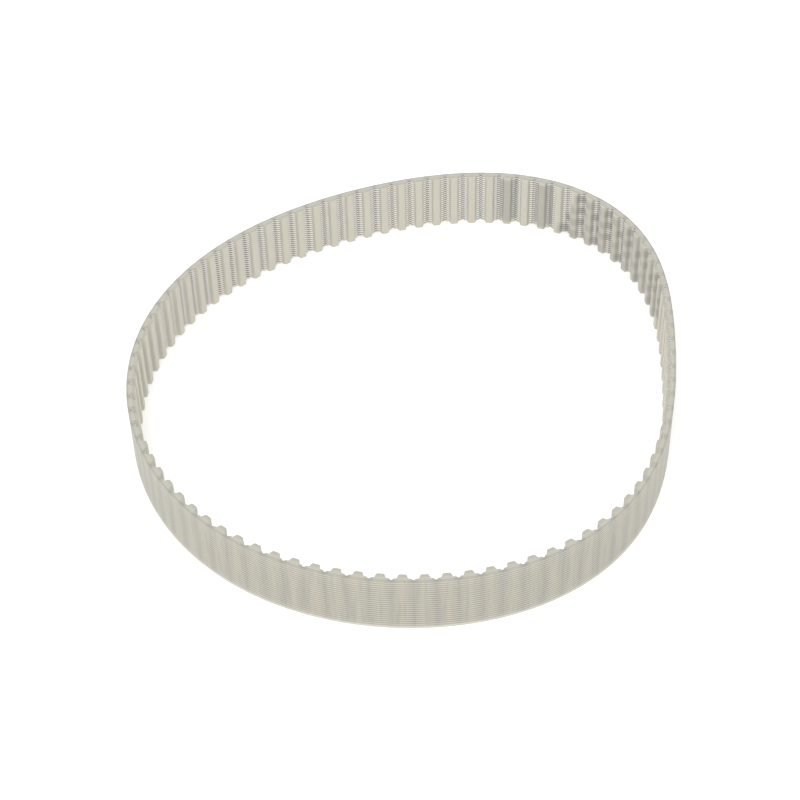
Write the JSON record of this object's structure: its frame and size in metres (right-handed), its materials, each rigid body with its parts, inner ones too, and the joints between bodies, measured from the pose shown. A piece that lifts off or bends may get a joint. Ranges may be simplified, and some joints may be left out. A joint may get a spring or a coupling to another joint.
{
  "type": "timing belt",
  "caption": "Endless toothed timing belt of cream translucent polyurethane with a steel tension cord, free in its relaxed round loop and standing on its edge.",
  "frame": {"origin": "centre of the free loop's outer size, in the plane of the edge that the belt stands on", "axes": "+Z across the belt's width, away from the edge that it stands on; +Y along the free loop's longest extent, from the front to the back"},
  "size_m": [0.1367, 0.1478, 0.016],
  "materials": {
    "polyurethane": "satin",
    "steel_cord": "satin"
  },
  "bodies": {
    "section_01": {"belt_section_01": "polyurethane", "cord_section_01": "steel_cord"},
    "section_02": {"belt_section_02": "polyurethane", "cord_section_02": "steel_cord"},
    "section_03": {"belt_section_03": "polyurethane", "cord_section_03": "steel_cord"},
    "section_04": {"belt_section_04": "polyurethane", "cord_section_04": "steel_cord"},
    "section_05": {"belt_section_05": "polyurethane", "cord_section_05": "steel_cord"},
    "section_06": {"belt_section_06": "polyurethane", "cord_section_06": "steel_cord"},
    "section_07": {"belt_section_07": "polyurethane", "cord_section_07": "steel_cord"},
    "section_08": {"belt_section_08": "polyurethane", "cord_section_08": "steel_cord"},
    "section_09": {"belt_section_09": "polyurethane", "cord_section_09": "steel_cord"},
    "section_10": {"belt_section_10": "polyurethane", "cord_section_10": "steel_cord"},
    "section_11": {"belt_section_11": "polyurethane", "cord_section_11": "steel_cord"},
    "section_12": {"belt_section_12": "polyurethane", "cord_section_12": "steel_cord"},
    "section_13": {"belt_section_13": "polyurethane", "cord_section_13": "steel_cord"},
    "section_14": {"belt_section_14": "polyurethane", "cord_section_14": "steel_cord"},
    "section_15": {"belt_section_15": "polyurethane", "cord_section_15": "steel_cord"},
    "section_16": {"belt_section_16": "polyurethane", "cord_section_16": "steel_cord"},
    "section_17": {"belt_section_17": "polyurethane", "cord_section_17": "steel_cord"},
    "section_18": {"belt_section_18": "polyurethane", "cord_section_18": "steel_cord"},
    "section_19": {"belt_section_19": "polyurethane", "cord_section_19": "steel_cord"},
    "section_20": {"belt_section_20": "polyurethane", "cord_section_20": "steel_cord"},
    "section_21": {"belt_section_21": "polyurethane", "cord_section_21": "steel_cord"},
    "section_22": {"belt_section_22": "polyurethane", "cord_section_22": "steel_cord"},
    "section_23": {"belt_section_23": "polyurethane", "cord_section_23": "steel_cord"},
    "section_24": {"belt_section_24": "polyurethane", "cord_section_24": "steel_cord"},
    "section_25": {"belt_section_25": "polyurethane", "cord_section_25": "steel_cord"},
    "section_26": {"belt_section_26": "polyurethane", "cord_section_26": "steel_cord"},
    "section_27": {"belt_section_27": "polyurethane", "cord_section_27": "steel_cord"},
    "section_28": {"belt_section_28": "polyurethane", "cord_section_28": "steel_cord"},
    "section_29": {"belt_section_29": "polyurethane", "cord_section_29": "steel_cord"},
    "section_30": {"belt_section_30": "polyurethane", "cord_section_30": "steel_cord"}
  },
  "joints": [
    {"name": "bend_01_02", "type": "hinge", "parent": "section_01", "child": "section_02", "pos_m": [0.01063, -0.07287, 0.008], "axis": [0, 0, 1], "range_deg": [-6.91, 6.91], "stiffness_Nm_per_rad": 0.01},
    {"name": "bend_02_03", "type": "hinge", "parent": "section_02", "child": "section_03", "pos_m": [0.0252, -0.06946, 0.008], "axis": [0, 0, 1], "range_deg": [-4.55, 4.55], "stiffness_Nm_per_rad": 0.01},
    {"name": "bend_03_04", "type": "hinge", "parent": "section_03", "child": "section_04", "pos_m": [0.03852, -0.06266, 0.008], "axis": [0, 0, 1], "range_deg": [-1.22, 1.22], "stiffness_Nm_per_rad": 0.01},
    {"name": "bend_04_05", "type": "hinge", "parent": "section_04", "child": "section_05", "pos_m": [0.04958, -0.05259, 0.008], "axis": [0, 0, 1], "range_deg": [-2.77, 2.77], "stiffness_Nm_per_rad": 0.01},
    {"name": "bend_05_06", "type": "hinge", "parent": "section_05", "child": "section_06", "pos_m": [0.05759, -0.03996, 0.008], "axis": [0, 0, 1], "range_deg": [-6.01, 6.01], "stiffness_Nm_per_rad": 0.01},
    {"name": "bend_06_07", "type": "hinge", "parent": "section_06", "child": "section_07", "pos_m": [0.06261, -0.02585, 0.008], "axis": [0, 0, 1], "range_deg": [-7.47, 7.47], "stiffness_Nm_per_rad": 0.01},
    {"name": "bend_07_08", "type": "hinge", "parent": "section_07", "child": "section_08", "pos_m": [0.06549, -0.01113, 0.008], "axis": [0, 0, 1], "range_deg": [-7.55, 7.55], "stiffness_Nm_per_rad": 0.01},
    {"name": "bend_08_09", "type": "hinge", "parent": "section_08", "child": "section_09", "pos_m": [0.06715, 0.00377, 0.008], "axis": [0, 0, 1], "range_deg": [-7.26, 7.26], "stiffness_Nm_per_rad": 0.01},
    {"name": "bend_09_10", "type": "hinge", "parent": "section_09", "child": "section_10", "pos_m": [0.06785, 0.01875, 0.008], "axis": [0, 0, 1], "range_deg": [-6.78, 6.78], "stiffness_Nm_per_rad": 0.01},
    {"name": "bend_10_11", "type": "hinge", "parent": "section_10", "child": "section_11", "pos_m": [0.06679, 0.0337, 0.008], "axis": [0, 0, 1], "range_deg": [-5.18, 5.18], "stiffness_Nm_per_rad": 0.01},
    {"name": "bend_11_12", "type": "hinge", "parent": "section_11", "child": "section_12", "pos_m": [0.06255, 0.04804, 0.008], "axis": [0, 0, 1], "range_deg": [-1.84, 1.84], "stiffness_Nm_per_rad": 0.01},
    {"name": "bend_12_13", "type": "hinge", "parent": "section_12", "child": "section_13", "pos_m": [0.05411, 0.06034, 0.008], "axis": [0, 0, 1], "range_deg": [-2.62, 2.62], "stiffness_Nm_per_rad": 0.01},
    {"name": "bend_13_14", "type": "hinge", "parent": "section_13", "child": "section_14", "pos_m": [0.04188, 0.06889, 0.008], "axis": [0, 0, 1], "range_deg": [-6.63, 6.63], "stiffness_Nm_per_rad": 0.01},
    {"name": "bend_14_15", "type": "hinge", "parent": "section_14", "child": "section_15", "pos_m": [0.02749, 0.07291, 0.008], "axis": [0, 0, 1], "range_deg": [-8.86, 8.86], "stiffness_Nm_per_rad": 0.01},
    {"name": "bend_15_16", "type": "hinge", "parent": "section_15", "child": "section_16", "pos_m": [0.01252, 0.07299, 0.008], "axis": [0, 0, 1], "range_deg": [-9.19, 9.19], "stiffness_Nm_per_rad": 0.01},
    {"name": "bend_16_17", "type": "hinge", "parent": "section_16", "child": "section_17", "pos_m": [-0.0022, 0.07021, 0.008], "axis": [0, 0, 1], "range_deg": [-8.13, 8.13], "stiffness_Nm_per_rad": 0.01},
    {"name": "bend_17_18", "type": "hinge", "parent": "section_17", "child": "section_18", "pos_m": [-0.01639, 0.06536, 0.008], "axis": [0, 0, 1], "range_deg": [-5.98, 5.98], "stiffness_Nm_per_rad": 0.01},
    {"name": "bend_18_19", "type": "hinge", "parent": "section_18", "child": "section_19", "pos_m": [-0.02981, 0.05869, 0.008], "axis": [0, 0, 1], "range_deg": [-3, 3], "stiffness_Nm_per_rad": 0.01},
    {"name": "bend_01_30", "type": "hinge", "parent": "section_01", "child": "section_30", "pos_m": [-0.00434, -0.07308, 0.008], "axis": [0, 0, 1], "range_deg": [-8.54, 8.54], "stiffness_Nm_per_rad": 0.01},
    {"name": "bend_30_29", "type": "hinge", "parent": "section_30", "child": "section_29", "pos_m": [-0.01904, -0.07021, 0.008], "axis": [0, 0, 1], "range_deg": [-9.19, 9.19], "stiffness_Nm_per_rad": 0.01},
    {"name": "bend_29_28", "type": "hinge", "parent": "section_29", "child": "section_28", "pos_m": [-0.0328, -0.06432, 0.008], "axis": [0, 0, 1], "range_deg": [-8.19, 8.19], "stiffness_Nm_per_rad": 0.01},
    {"name": "bend_28_27", "type": "hinge", "parent": "section_28", "child": "section_27", "pos_m": [-0.04495, -0.05558, 0.008], "axis": [0, 0, 1], "range_deg": [-5.23, 5.23], "stiffness_Nm_per_rad": 0.01},
    {"name": "bend_27_26", "type": "hinge", "parent": "section_27", "child": "section_26", "pos_m": [-0.05489, -0.04438, 0.008], "axis": [0, 0, 1], "range_deg": [-0.85, 0.85], "stiffness_Nm_per_rad": 0.01},
    {"name": "bend_26_25", "type": "hinge", "parent": "section_26", "child": "section_25", "pos_m": [-0.06219, -0.03131, 0.008], "axis": [0, 0, 1], "range_deg": [-3.76, 3.76], "stiffness_Nm_per_rad": 0.01},
    {"name": "bend_25_24", "type": "hinge", "parent": "section_25", "child": "section_24", "pos_m": [-0.06657, -0.017, 0.008], "axis": [0, 0, 1], "range_deg": [-7.36, 7.36], "stiffness_Nm_per_rad": 0.01},
    {"name": "bend_24_23", "type": "hinge", "parent": "section_24", "child": "section_23", "pos_m": [-0.06783, -0.00208, 0.008], "axis": [0, 0, 1], "range_deg": [-9.48, 9.48], "stiffness_Nm_per_rad": 0.01},
    {"name": "bend_23_22", "type": "hinge", "parent": "section_23", "child": "section_22", "pos_m": [-0.06585, 0.01276, 0.008], "axis": [0, 0, 1], "range_deg": [-10, 10], "stiffness_Nm_per_rad": 0.01},
    {"name": "bend_22_21", "type": "hinge", "parent": "section_22", "child": "section_21", "pos_m": [-0.06066, 0.0268, 0.008], "axis": [0, 0, 1], "range_deg": [-8.55, 8.55], "stiffness_Nm_per_rad": 0.01},
    {"name": "bend_21_20", "type": "hinge", "parent": "section_21", "child": "section_20", "pos_m": [-0.05256, 0.03939, 0.008], "axis": [0, 0, 1], "range_deg": [-5.07, 5.07], "stiffness_Nm_per_rad": 0.01}
  ],
  "couplings": [
    {"joint": "bend_01_02", "follows": "bend_23_22", "ratio": 0.69054},
    {"joint": "bend_02_03", "follows": "bend_23_22", "ratio": 0.45522},
    {"joint": "bend_03_04", "follows": "bend_23_22", "ratio": 0.12153},
    {"joint": "bend_04_05", "follows": "bend_23_22", "ratio": -0.27664},
    {"joint": "bend_05_06", "follows": "bend_23_22", "ratio": -0.60051},
    {"joint": "bend_06_07", "follows": "bend_23_22", "ratio": -0.74739},
    {"joint": "bend_07_08", "follows": "bend_23_22", "ratio": -0.75541},
    {"joint": "bend_08_09", "follows": "bend_23_22", "ratio": -0.72638},
    {"joint": "bend_09_10", "follows": "bend_23_22", "ratio": -0.67786},
    {"joint": "bend_10_11", "follows": "bend_23_22", "ratio": -0.51804},
    {"joint": "bend_11_12", "follows": "bend_23_22", "ratio": -0.18393},
    {"joint": "bend_12_13", "follows": "bend_23_22", "ratio": 0.26154},
    {"joint": "bend_13_14", "follows": "bend_23_22", "ratio": 0.66279},
    {"joint": "bend_14_15", "follows": "bend_23_22", "ratio": 0.88542},
    {"joint": "bend_15_16", "follows": "bend_23_22", "ratio": 0.91877},
    {"joint": "bend_16_17", "follows": "bend_23_22", "ratio": 0.81324},
    {"joint": "bend_17_18", "follows": "bend_23_22", "ratio": 0.59791},
    {"joint": "bend_18_19", "follows": "bend_23_22", "ratio": 0.3002},
    {"joint": "bend_01_30", "follows": "bend_23_22", "ratio": -0.85346},
    {"joint": "bend_30_29", "follows": "bend_23_22", "ratio": -0.91937},
    {"joint": "bend_29_28", "follows": "bend_23_22", "ratio": -0.81872},
    {"joint": "bend_28_27", "follows": "bend_23_22", "ratio": -0.52316},
    {"joint": "bend_27_26", "follows": "bend_23_22", "ratio": -0.084898},
    {"joint": "bend_26_25", "follows": "bend_23_22", "ratio": 0.37565},
    {"joint": "bend_25_24", "follows": "bend_23_22", "ratio": 0.73555},
    {"joint": "bend_24_23", "follows": "bend_23_22", "ratio": 0.94798},
    {"joint": "bend_22_21", "follows": "bend_23_22", "ratio": 0.85469},
    {"joint": "bend_21_20", "follows": "bend_23_22", "ratio": 0.50673}
  ]
}
